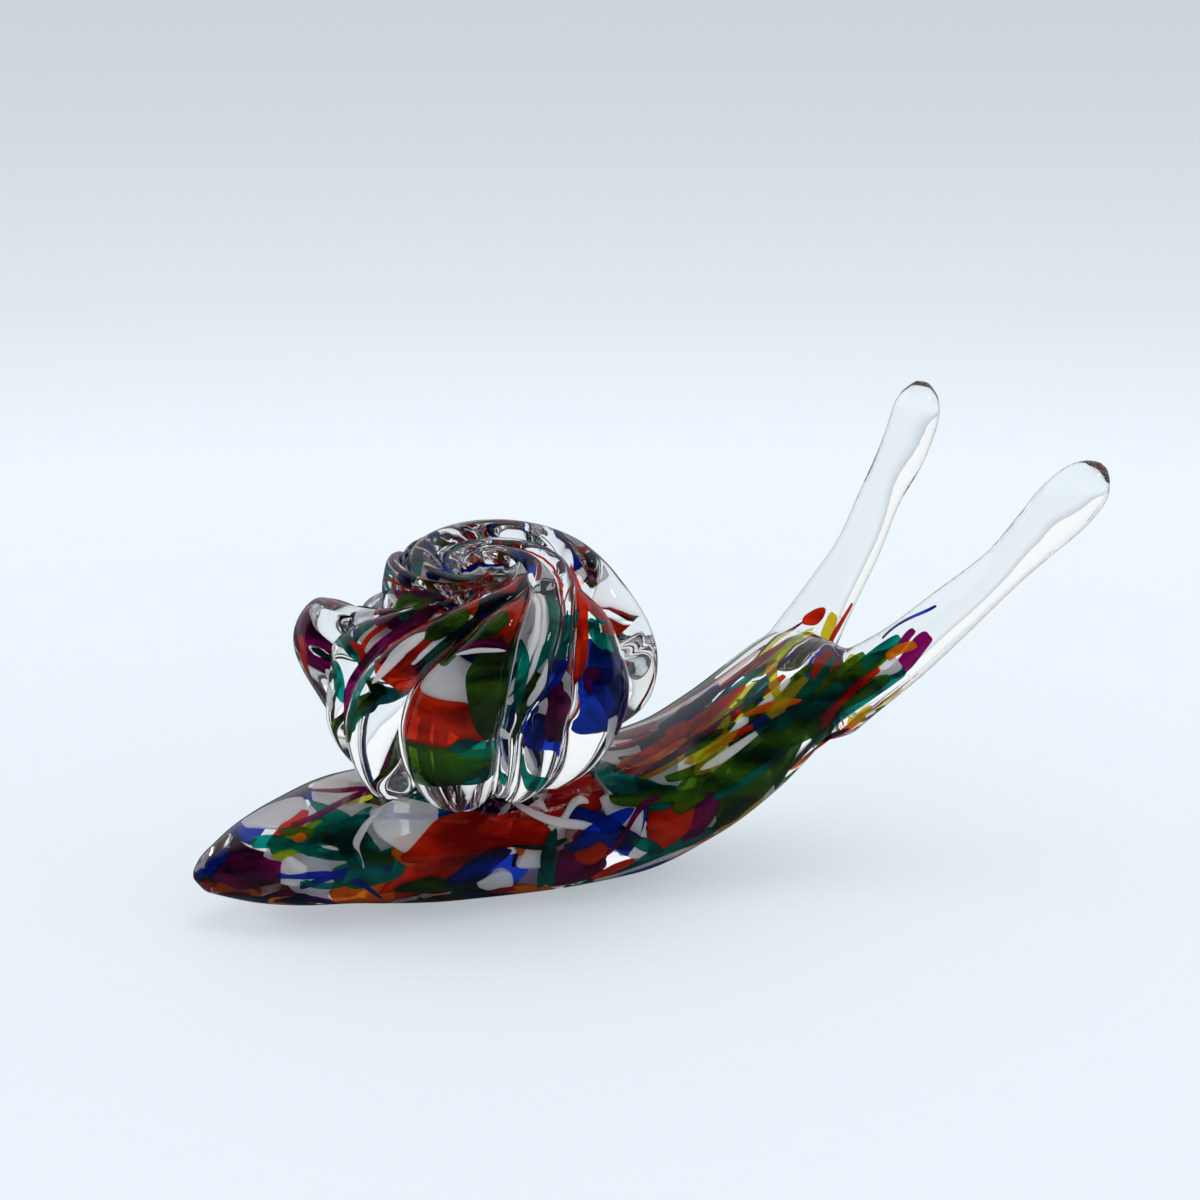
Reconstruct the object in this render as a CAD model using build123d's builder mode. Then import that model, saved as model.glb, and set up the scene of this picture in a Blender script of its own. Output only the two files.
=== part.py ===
from build123d import *
import math
import os

os.makedirs("parts", exist_ok=True)

# Glass snail figurine, millimetres. +X runs from the tail to the head, +Z is up,
# and the origin is the middle of the small flat on which the belly rests.

# Body gather
body_length = 111.8       # tail tip to the fork of the neck, along X
rest_place = 52.2         # tail tip to the middle of the rest flat
body_width = 35.2         # widest place, across
body_height = 23.0        # tallest place, square to the spine
belly_drop = 0.3          # how far the round belly would reach below the rest flat
neck_rise = 24.8          # spine at the fork above the spine at the belly
body_core_share = 0.50    # inner gather, as a share of the body's section
body_chip_depth_share = 0.70  # where the chips lie between the spine and the surface

# Shell
shell_radius = 28.6       # centre to the crests of the ribs, square to the axis
shell_crown = 19.5        # centre to the top, along the axis
shell_root = 24.0         # centre to the bottom, along the axis
shell_reach = -4.8        # centre of the shell from the rest flat, along X
shell_seat = 39.7         # centre of the shell above the rest flat
axis_tilt = 75.0          # degrees, the spiral's axis above the horizon
axis_swing = -18.0        # degrees, which way the axis leans, round from -Y
eye_floor = 14.2          # centre of the shell to the floor of the eye, along the axis
eye_floor_radius = 4.0
eye_mouth = 18.2          # where the flared side of the eye would end, along the axis
eye_mouth_radius = 10.0
fin_seat = 16.6           # centre of the shell to the middle of the fin, along the axis
fin_radius = 1.7          # the fin winds round the eye, half sunk in the crown
shell_core_radius = 13.6  # inner gather, a round bun
shell_core_height = 14.6
shell_core_round = 6.0
shell_chip_depth_share = 0.72
twist_angle = 16.0        # degrees of turn at 45 degrees from the axis
twist_power = 2.1

# Tentacles
right_tip_reach = 99.6    # rest flat to the tip, along X
right_tip_spread = 21.1   # tip from the middle plane
right_tip_height = 67.6
right_knob = 5.0          # radius
left_tip_reach = 88.2
left_tip_spread = 21.6
left_tip_height = 76.4
left_knob = 4.3
root_spread = 7.5         # each tentacle's root from the middle plane
root_drop = 3.0           # each root below the neck's spine

# Chips of coloured glass, sunk in the clear glass round the inner gathers
body_chip = 12.0          # across a common chip in the body
shell_chip = 10.0         # across a common chip in the shell
chip_thickness = 1.6
chip_round = 0.5          # corners melted round

# Body sections from the tail to the fork: place along the length, rise of the spine,
# half width and half height, as shares of body_length, neck_rise, body_width
# and body_height
body_section_shares = [
    (0.000, -0.121, 0.023, 0.035),
    (0.011, -0.121, 0.080, 0.109),
    (0.038, -0.109, 0.148, 0.183),
    (0.082, -0.081, 0.256, 0.278),
    (0.149, -0.040, 0.369, 0.365),
    (0.243, 0.008, 0.455, 0.443),
    (0.368, 0.000, 0.497, 0.487),
    (0.503, 0.000, 0.500, 0.500),
    (0.637, 0.024, 0.489, 0.489),
    (0.744, 0.149, 0.472, 0.443),
    (0.834, 0.363, 0.455, 0.417),
    (0.914, 0.637, 0.443, 0.365),
    (0.968, 0.859, 0.415, 0.278),
    (1.000, 1.000, 0.313, 0.096),
]
core_sections = slice(3, 12)
root_section = 11

# Ribs round the shell: angle of the crest in degrees from the front, its height as a
# share of the radius, and the depth of the groove that follows it
rib_shares = [
    (-96, 1.00, 0.20), (-62, 0.98, 0.17), (-37, 0.98, 0.14), (-9, 0.98, 0.13),
    (19, 0.98, 0.15), (43, 0.99, 0.18), (78, 1.01, 0.20), (112, 0.99, 0.18),
    (146, 1.00, 0.18), (176, 0.99, 0.17), (207, 1.00, 0.26),
]
rib_steps = 4
groove_round_share = 0.17  # how far the bottoms of the grooves are rounded
shell_levels = [150, 138, 123, 107, 90, 73, 60, 50, 43, 37, 32, 28]

# Fin round the eye: angle in degrees from the front, and distance from the axis as a
# share of the shell's radius
fin_shares = [
    (105, 0.531), (140, 0.503), (180, 0.455), (225, 0.392), (270, 0.343), (310, 0.322),
    (345, 0.329),
]

# Tentacle sections: place from the root to the tip along X, Y and Z, as shares of
# those distances, and radius as a share of the knob's
right_tentacle_shares = [
    (0.000, 0.000, 0.000, 1.36), (0.119, 0.096, 0.103, 1.36), (0.217, 0.199, 0.174, 1.18),
    (0.346, 0.331, 0.275, 1.02), (0.504, 0.478, 0.427, 0.90), (0.682, 0.647, 0.606, 0.76),
    (0.791, 0.772, 0.739, 0.88), (0.870, 0.868, 0.839, 1.00), (0.935, 0.941, 0.917, 0.92),
    (0.976, 0.978, 0.970, 0.64), (1.000, 1.000, 1.000, 0.20),
]
left_tentacle_shares = [
    (0.000, 0.000, 0.000, 1.50), (0.153, 0.035, 0.115, 1.50), (0.281, 0.177, 0.219, 1.28),
    (0.421, 0.319, 0.334, 1.07), (0.587, 0.496, 0.473, 0.91), (0.727, 0.674, 0.630, 0.86),
    (0.880, 0.837, 0.782, 0.98), (0.952, 0.929, 0.887, 1.00), (0.985, 0.979, 0.954, 0.79),
    (1.000, 1.000, 1.000, 0.28),
]

# Chips in the body: place along the spine as a share, angle round it in degrees from
# the right side, upwards, length and width as shares of body_chip, and turn in degrees
body_chip_shares = {
    "red": [(0.44, 8, 1.5, 0.7, 8), (0.56, 250, 1.2, 0.7, 20), (0.40, 176, 1.1, 0.8, -15),
            (0.71, 14, 0.5, 0.5, 30)],
    "orange": [(0.47, -50, 1.0, 0.45, -10), (0.70, 62, 1.3, 0.22, 3)],
    "teal": [(0.25, 4, 0.5, 0.9, 30), (0.64, 24, 0.8, 0.4, -20), (0.62, 158, 1.0, 0.7, 10),
             (0.85, 150, 1.0, 0.5, 12)],
    "green": [(0.84, 12, 1.3, 0.7, -6), (0.34, -62, 1.0, 0.5, 15), (0.24, 160, 0.8, 0.5, 30)],
    "blue": [(0.565, 14, 0.45, 0.8, 25), (0.50, 205, 0.9, 0.5, -12), (0.81, 92, 0.9, 0.24, 4)],
    "purple": [(0.63, -34, 0.8, 0.5, 6), (0.17, 0, 0.4, 0.6, 0), (0.73, 205, 0.9, 0.6, 5)],
    "yellow": [(0.75, -26, 0.7, 0.4, 15), (0.84, 68, 1.0, 0.22, 2), (0.28, 215, 0.7, 0.4, 0)],
    "white": [(0.32, 28, 0.7, 0.8, 12), (0.52, -30, 0.7, 0.45, 40), (0.28, 100, 0.8, 0.6, 0),
              (0.52, 150, 0.7, 0.6, 20)],
}

# Chips in the shell: angle round the axis and angle from the axis in degrees, length
# and width as shares of shell_chip, and turn in degrees
shell_chip_shares = {
    "red": [(-22, 82, 0.9, 0.7, 40), (16, 40, 1.0, 0.5, 20), (150, 70, 1.1, 0.7, 10)],
    "green": [(-20, 116, 1.0, 0.7, 20), (-60, 52, 0.9, 0.55, -20), (205, 100, 1.0, 0.6, 15)],
    "teal": [(32, 112, 0.6, 0.9, 10), (62, 52, 0.9, 0.4, -40), (-110, 90, 0.9, 0.6, 0)],
    "blue": [(66, 92, 1.0, 0.7, 75), (112, 62, 1.0, 0.5, 20), (250, 62, 0.9, 0.5, 30)],
    "purple": [(8, 84, 0.8, 0.8, 10), (-70, 84, 0.7, 0.9, 25), (170, 112, 0.9, 0.6, 0)],
    "white": [(-8, 64, 0.8, 0.45, 10), (118, 100, 0.9, 0.7, 30), (-150, 60, 0.8, 0.5, -20)],
}

# Outline of a chip, as shares of its length and width
shard_shares = [(-0.50, -0.18), (-0.30, -0.48), (0.22, -0.50), (0.50, -0.08), (0.34, 0.44),
                (-0.16, 0.50), (-0.46, 0.26)]

across = Vector(0, 1, 0)
belly_spine = body_height / 2 - belly_drop
spine = [
    Vector(body_length * place - rest_place, 0, belly_spine + neck_rise * rise)
    for place, rise, half_width, half_height in body_section_shares
]


def heading(points, number):
    """Direction of a path at one of its points."""
    ahead = points[min(number + 1, len(points) - 1)]
    return (ahead - points[max(number - 1, 0)]).normalized()


def body_sections(share, chosen=slice(None)):
    """Ellipses square to the body's spine, at a share of their full size."""
    sections = []
    for number, (place, rise, half_width, half_height) in enumerate(body_section_shares):
        square = Plane(spine[number], x_dir=across, z_dir=heading(spine, number))
        with BuildSketch(square) as section:
            Ellipse(body_width * half_width * share, body_height * half_height * share)
        sections.append(section.sketch)
    return sections[chosen]


def tentacle_sections(tip, knob, shares):
    """Circles square to a tentacle's path, from its root in the neck to its tip."""
    side = math.copysign(1, tip.Y)
    root = spine[root_section] + Vector(0, side * root_spread, -root_drop)
    reach = tip - root
    points = [
        root + Vector(reach.X * along, reach.Y * out, reach.Z * up)
        for along, out, up, width in shares
    ]
    sections = []
    for number, (along, out, up, width) in enumerate(shares):
        square = Plane(points[number], x_dir=across, z_dir=heading(points, number))
        with BuildSketch(square) as section:
            Circle(knob * width)
        sections.append(section.sketch)
    return sections


def shell_height(angle):
    """Height of a level of the shell along its axis, from its angle off the axis."""
    length = shell_crown if angle < 90 else shell_root
    return length * math.cos(math.radians(angle))


def rib_points(angle):
    """Points round one level of the ribbed and twisted shell."""
    level = math.radians(angle)
    slope = abs(1 / math.tan(level))
    turn = twist_angle * slope**twist_power if angle < 90 else 0
    points = []
    for number, (crest, height, groove) in enumerate(rib_shares):
        following, next_height, next_groove = rib_shares[(number + 1) % len(rib_shares)]
        span = (following - crest) % 360
        for step in range(rib_steps):
            part = step / rib_steps
            bulge = math.hypot(math.cos(math.pi * part), groove_round_share)
            crest_height = height + (next_height - height) * part
            share = crest_height - groove * (1 - bulge)
            radius = shell_radius * math.sin(level) * share
            place = math.radians(crest + span * part + turn)
            points.append((radius * math.sin(place), -radius * math.cos(place)))
    return points


lean = math.radians(axis_swing)
rise = math.radians(axis_tilt)
shell_axis = Vector(
    math.sin(lean) * math.cos(rise), -math.cos(lean) * math.cos(rise), math.sin(rise)
)
shell_side = Vector(math.cos(lean), math.sin(lean), 0)
shell_centre = Vector(shell_reach, 0, shell_seat)
shell_plane = Plane(shell_centre, x_dir=shell_side, z_dir=shell_axis)


def shell_sections():
    """Closed curves square to the shell's axis, from its root to its eye."""
    sections = []
    for angle in shell_levels:
        with BuildSketch(shell_plane.offset(shell_height(angle))) as section:
            with BuildLine():
                Spline(*rib_points(angle), periodic=True)
            make_face()
        sections.append(section.sketch)
    return sections


def fin_points():
    """Points along the middle of the fin, from the right, round the back, to the front."""
    points = []
    for angle, share in fin_shares:
        turned = math.radians(angle)
        out = shell_radius * share
        place = Vector(out * math.sin(turned), -out * math.cos(turned), fin_seat)
        points.append(shell_plane.from_local_coords(place))
    return points


def body_facing(place, angle):
    """Plane under the body's surface, at a place along the spine and an angle round it."""
    places = [row[0] for row in body_section_shares]
    number = max(index for index, start in enumerate(places[:-1]) if start <= place)
    part = (place - places[number]) / (places[number + 1] - places[number])
    before, after = body_section_shares[number : number + 2]
    half_width = body_width * (before[2] + (after[2] - before[2]) * part)
    half_height = body_height * (before[3] + (after[3] - before[3]) * part)
    along = (spine[number + 1] - spine[number]).normalized()
    upwards = along.cross(across)
    turned = math.radians(angle)
    centre = spine[number] + (spine[number + 1] - spine[number]) * part
    surface = upwards * half_height * math.sin(turned) - across * half_width * math.cos(turned)
    outwards = upwards * half_width * math.sin(turned) - across * half_height * math.cos(turned)
    return Plane(centre + surface * body_chip_depth_share, x_dir=along, z_dir=outwards)


def shell_facing(angle, level):
    """Plane under the shell's surface, at an angle round its axis and one off it."""
    turned = math.radians(angle)
    off_axis = math.radians(level)
    length = shell_crown if level < 90 else shell_root
    round_axis = shell_plane.x_dir * math.sin(turned) - shell_plane.y_dir * math.cos(turned)
    sine, cosine = math.sin(off_axis), math.cos(off_axis)
    surface = round_axis * shell_radius * sine + shell_axis * length * cosine
    outwards = round_axis * length * sine + shell_axis * shell_radius * cosine
    side = shell_axis.cross(outwards)
    return Plane(shell_centre + surface * shell_chip_depth_share, x_dir=side, z_dir=outwards)


def shard(plane, size, length, width, turn):
    """Outline of one broken chip with its corners melted round, laid on a plane."""
    corners = [(along * length * size, over * width * size) for along, over in shard_shares]
    with BuildSketch(plane.rotated((0, 0, turn))) as outline:
        Polygon(*corners, align=None)
        fillet(outline.vertices(), radius=chip_round)
    return outline.sketch


# Outer forms

with BuildPart() as body_form:
    loft(sections=body_sections(1))
    split(bisect_by=Plane.XY, keep=Keep.TOP)

with BuildPart() as crown_fin:
    with BuildLine() as fin_path:
        Spline(*fin_points())
    with BuildSketch(Plane(fin_path.line @ 0, z_dir=fin_path.line % 0)):
        Circle(fin_radius)
    sweep()

with BuildPart() as shell_form:
    loft(sections=shell_sections())
    with BuildSketch(shell_plane.offset(eye_floor)):
        Circle(eye_floor_radius)
    with BuildSketch(shell_plane.offset(eye_mouth)):
        Circle(eye_mouth_radius)
    loft(mode=Mode.SUBTRACT)
    add(crown_fin.part)

# Inner gathers

with BuildPart() as body_core:
    loft(sections=body_sections(body_core_share, core_sections))

with BuildPart() as shell_core:
    with BuildSketch(Plane(shell_centre, x_dir=shell_side, z_dir=-shell_plane.y_dir)) as bun:
        Rectangle(shell_core_radius, shell_core_height, align=(Align.MIN, Align.CENTER))
        fillet(bun.vertices().group_by(Axis(shell_centre, shell_side))[-1], radius=shell_core_round)
    revolve(axis=Axis(shell_centre, shell_axis))

# Chips, one node for each colour in each gather

body_chips = {}
for colour, places in body_chip_shares.items():
    with BuildPart() as chips:
        for place, angle, length, width, turn in places:
            plane = body_facing(place, angle)
            add(shard(plane, body_chip, length, width, turn))
            extrude(amount=chip_thickness / 2, dir=plane.z_dir, both=True)
    body_chips[f"body_{colour}_chips"] = chips

shell_chips = {}
for colour, places in shell_chip_shares.items():
    with BuildPart() as chips:
        for angle, level, length, width, turn in places:
            plane = shell_facing(angle, level)
            add(shard(plane, shell_chip, length, width, turn))
            extrude(amount=chip_thickness / 2, dir=plane.z_dir, both=True)
    shell_chips[f"shell_{colour}_chips"] = chips

# Clear glass

with BuildPart() as body_casing:
    add(body_form.part)
    add(body_core.part, mode=Mode.SUBTRACT)
    for chips in body_chips.values():
        add(chips.part, mode=Mode.SUBTRACT)

with BuildPart() as shell_casing:
    add(shell_form.part)
    add(body_form.part, mode=Mode.SUBTRACT)
    add(shell_core.part, mode=Mode.SUBTRACT)
    for chips in shell_chips.values():
        add(chips.part, mode=Mode.SUBTRACT)

with BuildPart() as right_tentacle:
    tip = Vector(right_tip_reach, -right_tip_spread, right_tip_height)
    loft(sections=tentacle_sections(tip, right_knob, right_tentacle_shares))
    add(body_form.part, mode=Mode.SUBTRACT)

with BuildPart() as left_tentacle:
    tip = Vector(left_tip_reach, left_tip_spread, left_tip_height)
    loft(sections=tentacle_sections(tip, left_knob, left_tentacle_shares))
    add(body_form.part, mode=Mode.SUBTRACT)

pieces = {
    "body_casing": body_casing,
    "body_core": body_core,
    "shell_casing": shell_casing,
    "shell_core": shell_core,
    "right_tentacle": right_tentacle,
    "left_tentacle": left_tentacle,
    **body_chips,
    **shell_chips,
}
for name, piece in pieces.items():
    piece.part.label = name
    export_step(piece.part, f"parts/{name}.step")
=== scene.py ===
import itertools
import math
import random

import bmesh
import bpy
import numpy as np
from mathutils import Matrix, Vector
from mathutils.bvhtree import BVHTree


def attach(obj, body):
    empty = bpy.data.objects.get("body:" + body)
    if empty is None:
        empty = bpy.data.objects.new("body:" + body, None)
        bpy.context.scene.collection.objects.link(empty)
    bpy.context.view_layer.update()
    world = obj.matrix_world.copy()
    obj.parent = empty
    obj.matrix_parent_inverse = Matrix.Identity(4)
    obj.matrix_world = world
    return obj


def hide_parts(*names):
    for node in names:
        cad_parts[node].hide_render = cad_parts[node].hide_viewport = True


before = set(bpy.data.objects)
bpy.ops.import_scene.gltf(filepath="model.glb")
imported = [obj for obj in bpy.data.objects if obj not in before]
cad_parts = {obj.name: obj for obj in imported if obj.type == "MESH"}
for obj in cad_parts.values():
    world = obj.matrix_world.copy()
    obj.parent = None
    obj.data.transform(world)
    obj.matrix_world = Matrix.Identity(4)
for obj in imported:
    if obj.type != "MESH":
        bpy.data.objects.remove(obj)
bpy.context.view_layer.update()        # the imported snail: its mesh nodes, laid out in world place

mm = 0.001
sideways = np.array([0.0, 1.0, 0.0])


# Small helpers

def pickNone():
    # back to object mode, with nothing selected
    if bpy.context.object and bpy.context.object.mode != "OBJECT":
        bpy.ops.object.mode_set(mode="OBJECT")
    bpy.ops.object.select_all(action="DESELECT")


def pickOnly(piece):
    pickNone()
    piece.select_set(True)
    bpy.context.view_layer.objects.active = piece


def copyOf(template, places):
    piece = template.copy()
    piece.data = template.data.copy()
    bpy.context.scene.collection.objects.link(piece)
    setPlaces(piece, places)
    return piece


def joined(pieces, name):
    pickNone()
    for piece in pieces:
        piece.select_set(True)
    bpy.context.view_layer.objects.active = pieces[0]
    bpy.ops.object.join()
    result = bpy.context.object
    result.name = result.data.name = name
    return result


def applied(piece, kind, **settings):
    pickOnly(piece)
    modifier = piece.modifiers.new(kind.lower(), kind)
    for key, value in settings.items():
        setattr(modifier, key, value)
    bpy.ops.object.modifier_apply(modifier=modifier.name)


def getPlaces(piece):
    places = np.empty(len(piece.data.vertices) * 3)
    piece.data.vertices.foreach_get("co", places)
    return places.reshape(-1, 3)


def setPlaces(piece, places):
    piece.data.vertices.foreach_set("co", np.asarray(places, float).ravel())
    piece.data.update()


def ball(segments, rings):
    # a round bead of glass, which the shell and each chip or thread are shaped from
    pickNone()
    bpy.ops.mesh.primitive_uv_sphere_add(segments=segments, ring_count=rings, radius=1, location=(0, 0, 0))
    bead = bpy.context.object
    for polygon in bead.data.polygons:
        polygon.use_smooth = True
    return bead


def smoothRows(rows, count):
    # a smooth curve through rows of values against their first column, with no overshoot
    rows = np.array(rows, float)
    at, values = rows[:, 0], rows[:, 1:]
    steps = np.diff(at)[:, None]
    slopes = np.diff(values, axis=0) / steps
    tangents = np.zeros_like(values)
    same = slopes[:-1] * slopes[1:] > 0
    total = np.where(same, slopes[:-1] + slopes[1:], 1)
    tangents[1:-1] = np.where(same, 2 * slopes[:-1] * slopes[1:] / total, 0)
    tangents[0], tangents[-1] = slopes[0], slopes[-1]
    wanted = count if np.ndim(count) else np.linspace(at[0], at[-1], count)
    wanted = np.clip(wanted, at[0], at[-1])
    k = np.clip(np.searchsorted(at, wanted) - 1, 0, len(at) - 2)
    h = (at[k + 1] - at[k])[:, None]
    t = (wanted - at[k])[:, None] / h
    low, high = values[k], values[k + 1]
    curve = (
        low * (2 * t**3 - 3 * t**2 + 1)
        + tangents[k] * h * (t**3 - 2 * t**2 + t)
        + high * (3 * t**2 - 2 * t**3)
        + tangents[k + 1] * h * (t**3 - t**2)
    )
    return np.column_stack([wanted, curve])


def ringLoft(name, rings, sides):
    # a disc pulled out ring by ring along its path, as a gather of glass is drawn
    pickNone()
    bpy.ops.mesh.primitive_circle_add(vertices=sides, radius=1, fill_type="NGON", location=(0, 0, 0))
    piece = bpy.context.object
    piece.name = name
    piece.data.transform(rings[0])
    bpy.ops.object.mode_set(mode="EDIT")
    bpy.ops.mesh.select_all(action="SELECT")
    for before, after in zip(rings, rings[1:]):
        bpy.ops.mesh.extrude_region_move()
        shape = bmesh.from_edit_mesh(piece.data)
        drawn = [v for v in shape.verts if v.select]
        bmesh.ops.transform(shape, matrix=after @ before.inverted(), verts=drawn)
    bpy.ops.mesh.select_all(action="SELECT")
    bpy.ops.mesh.normals_make_consistent(inside=False)
    bpy.ops.object.mode_set(mode="OBJECT")
    return piece


def ringAt(centre, heading, halfWidth, halfHeight):
    # where a unit disc lies and how large it is, square to its heading and level sideways
    ahead, across = Vector(heading).normalized(), Vector(sideways)
    side = (across - ahead * across.dot(ahead)).normalized()
    up = ahead.cross(side)
    columns = Matrix((side * halfWidth, up * halfHeight, ahead)).transposed()
    return Matrix.Translation(Vector(centre)) @ columns.to_4x4()


# Body, in millimetres and in shares of its own sizes

bodyShape = {
    "length": 111.8, "restPlace": 52.2, "width": 35.2, "height": 23.0, "bellyDrop": 0.3, "neckRise": 24.8,
    "sections": [  # place, rise of the spine, half width, half height
        (0.0, -0.121, 0.023, 0.035), (0.011, -0.121, 0.08, 0.109), (0.038, -0.109, 0.148, 0.183),
        (0.082, -0.081, 0.256, 0.278), (0.149, -0.04, 0.369, 0.365), (0.243, 0.008, 0.455, 0.443),
        (0.368, 0.0, 0.497, 0.487), (0.503, 0.0, 0.5, 0.5), (0.637, 0.024, 0.489, 0.489),
        (0.744, 0.149, 0.472, 0.443), (0.834, 0.363, 0.455, 0.417), (0.914, 0.637, 0.443, 0.365),
        (0.968, 0.859, 0.415, 0.278), (1.0, 1.0, 0.313, 0.096)],
    "rings": 70, "sides": 64, "rootPlace": 0.914, "rootSpread": 7.5, "rootDrop": 3.0,
    "gatherStep": 0.45, "polishing": 0.5, "polish": 6, "forkPolish": 34, "forkReach": 17.0,
}

tentacleShapes = {
    "rightTentacle": {
        "tip": (99.6, -21.1, 67.6), "knob": 5.0, "parting": 0.3,
        "sections": [  # shares of the way to the tip in x, y and z, and of the knob's radius
            (0, 0, 0, 0.5), (0.05, 0.04, 0.043, 1.05), (0.119, 0.096, 0.103, 1.34),
            (0.217, 0.199, 0.174, 1.18), (0.346, 0.331, 0.275, 1.02), (0.504, 0.478, 0.427, 0.9),
            (0.682, 0.647, 0.606, 0.76), (0.791, 0.772, 0.739, 0.88), (0.87, 0.868, 0.839, 1.0),
            (0.935, 0.941, 0.917, 0.92), (0.976, 0.978, 0.97, 0.64), (1, 1, 1, 0.2)],
    },
    "leftTentacle": {
        "tip": (88.2, 21.6, 76.4), "knob": 4.3, "parting": 0.3,
        "sections": [
            (0, 0, 0, 0.6), (0.06, 0.014, 0.045, 1.2), (0.153, 0.035, 0.115, 1.48),
            (0.281, 0.177, 0.219, 1.28), (0.421, 0.319, 0.334, 1.07), (0.587, 0.496, 0.473, 0.91),
            (0.727, 0.674, 0.63, 0.86), (0.88, 0.837, 0.782, 0.98), (0.952, 0.929, 0.887, 1.0),
            (0.985, 0.979, 0.954, 0.79), (1, 1, 1, 0.28)],
    },
}

tentacleRings = 64
tentacleSides = 40
tentacleSteps = 100  # numbered places along a tentacle


def bodyFrames(places):
    # centre, heading, half width and half height of the body at places along it, in metres
    s = bodyShape
    rows = smoothRows(s["sections"], np.atleast_1d(places))
    step = 0.004
    ahead = smoothRows(s["sections"], np.clip(rows[:, 0] + step, 0, 1))
    back = smoothRows(s["sections"], np.clip(rows[:, 0] - step, 0, 1))
    spine = s["height"] / 2 - s["bellyDrop"]
    centres = np.column_stack([
        s["length"] * rows[:, 0] - s["restPlace"], np.zeros(len(rows)), spine + s["neckRise"] * rows[:, 1]])
    headings = np.column_stack([
        s["length"] * (ahead[:, 0] - back[:, 0]), np.zeros(len(rows)),
        s["neckRise"] * (ahead[:, 1] - back[:, 1])])
    headings /= np.linalg.norm(headings, axis=1)[:, None]
    return centres * mm, headings, s["width"] * rows[:, 2] * mm, s["height"] * rows[:, 3] * mm


def tentaclePath(shape, count):
    # rows of share, centre and radius along a tentacle, in metres, and its headings
    s = bodyShape
    centres, headings, widths, heights = bodyFrames(s["rootPlace"])
    side = math.copysign(1, shape["tip"][1])
    root = centres[0] + np.array([0, side * s["rootSpread"], -s["rootDrop"]]) * mm
    reach = np.array(shape["tip"]) * mm - root
    shares = np.array(shape["sections"])
    points = root + shares[:, :3] * reach
    run = np.concatenate([[0], np.cumsum(np.linalg.norm(np.diff(points, axis=0), axis=1))])
    rows = smoothRows(np.column_stack([run / run[-1], points, shares[:, 3] * shape["knob"] * mm]), count)
    headings = np.gradient(rows[:, 1:4], axis=0)
    headings /= np.linalg.norm(headings, axis=1)[:, None]
    return rows, headings


def makeGather():
    # the body and its two tentacles, drawn from one gather of clear glass
    s = bodyShape
    centres, headings, widths, heights = bodyFrames(np.linspace(0, 1, s["rings"]))
    rings = [ringAt(*ring) for ring in zip(centres, headings, widths, heights)]
    forms = [ringLoft("gather", rings, s["sides"])]
    for name, shape in tentacleShapes.items():
        rows, headings = tentaclePath(shape, tentacleRings)
        rings = [ringAt(row[1:4], heading, row[4], row[4]) for row, heading in zip(rows, headings)]
        forms.append(ringLoft(name, rings, tentacleSides))
    gather = joined(forms, "gather")
    applied(gather, "REMESH", mode="VOXEL", voxel_size=s["gatherStep"] * mm, use_smooth_shade=True)
    applied(gather, "SMOOTH", factor=s["polishing"], iterations=s["polish"])
    fork = bodyFrames(1.0)[0][0]
    near = gather.vertex_groups.new(name="fork")
    for vertex in gather.data.vertices:
        away = (vertex.co - Vector(fork)).length / (s["forkReach"] * mm)
        if away < 1:
            near.add([vertex.index], (1 - away * away) ** 2, "REPLACE")
    applied(gather, "SMOOTH", factor=s["polishing"], iterations=s["forkPolish"], vertex_group="fork")
    places = getPlaces(gather)
    places[:, 2] = np.maximum(places[:, 2], 0)
    setPlaces(gather, places)
    return gather


def parted(gather):
    # the tentacles are taken off the gather where they leave the fork, as pieces of their own
    found = {}
    for name, shape in tentacleShapes.items():
        rows, headings = tentaclePath(shape, tentacleSteps + 1)
        number = int(shape["parting"] * tentacleSteps)
        cut, heading = Vector(rows[number, 1:4]), Vector(headings[number])
        side = math.copysign(1, shape["tip"][1])
        pickOnly(gather)
        bpy.ops.object.mode_set(mode="EDIT")
        bpy.ops.mesh.select_all(action="DESELECT")
        mesh = bmesh.from_edit_mesh(gather.data)
        for face in mesh.faces:
            centre = face.calc_center_median()
            if centre.y * side > 0 and (centre - cut).dot(heading) > 0:
                face.select_set(True)
        bmesh.update_edit_mesh(gather.data)
        bpy.ops.mesh.separate(type="SELECTED")
        bpy.ops.object.mode_set(mode="OBJECT")
        piece = [o for o in bpy.context.selected_objects if o != gather][0]
        piece.name = piece.data.name = name
        found[name] = piece
    gather.name = gather.data.name = "bodyGlass"
    found["bodyGlass"] = gather
    for piece in found.values():
        mesh = bmesh.new()
        mesh.from_mesh(piece.data)
        openEdges = [edge for edge in mesh.edges if edge.is_boundary]
        caps = bmesh.ops.holes_fill(mesh, edges=openEdges, sides=0)["faces"]
        for edge in openEdges:
            edge.smooth = False
        flat = bmesh.ops.triangulate(mesh, faces=caps)["faces"]
        for face in flat:
            face.material_index = 1
        bmesh.ops.recalc_face_normals(mesh, faces=mesh.faces)
        mesh.to_mesh(piece.data)
        mesh.free()
    return found


# Shell, in millimetres and degrees

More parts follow.
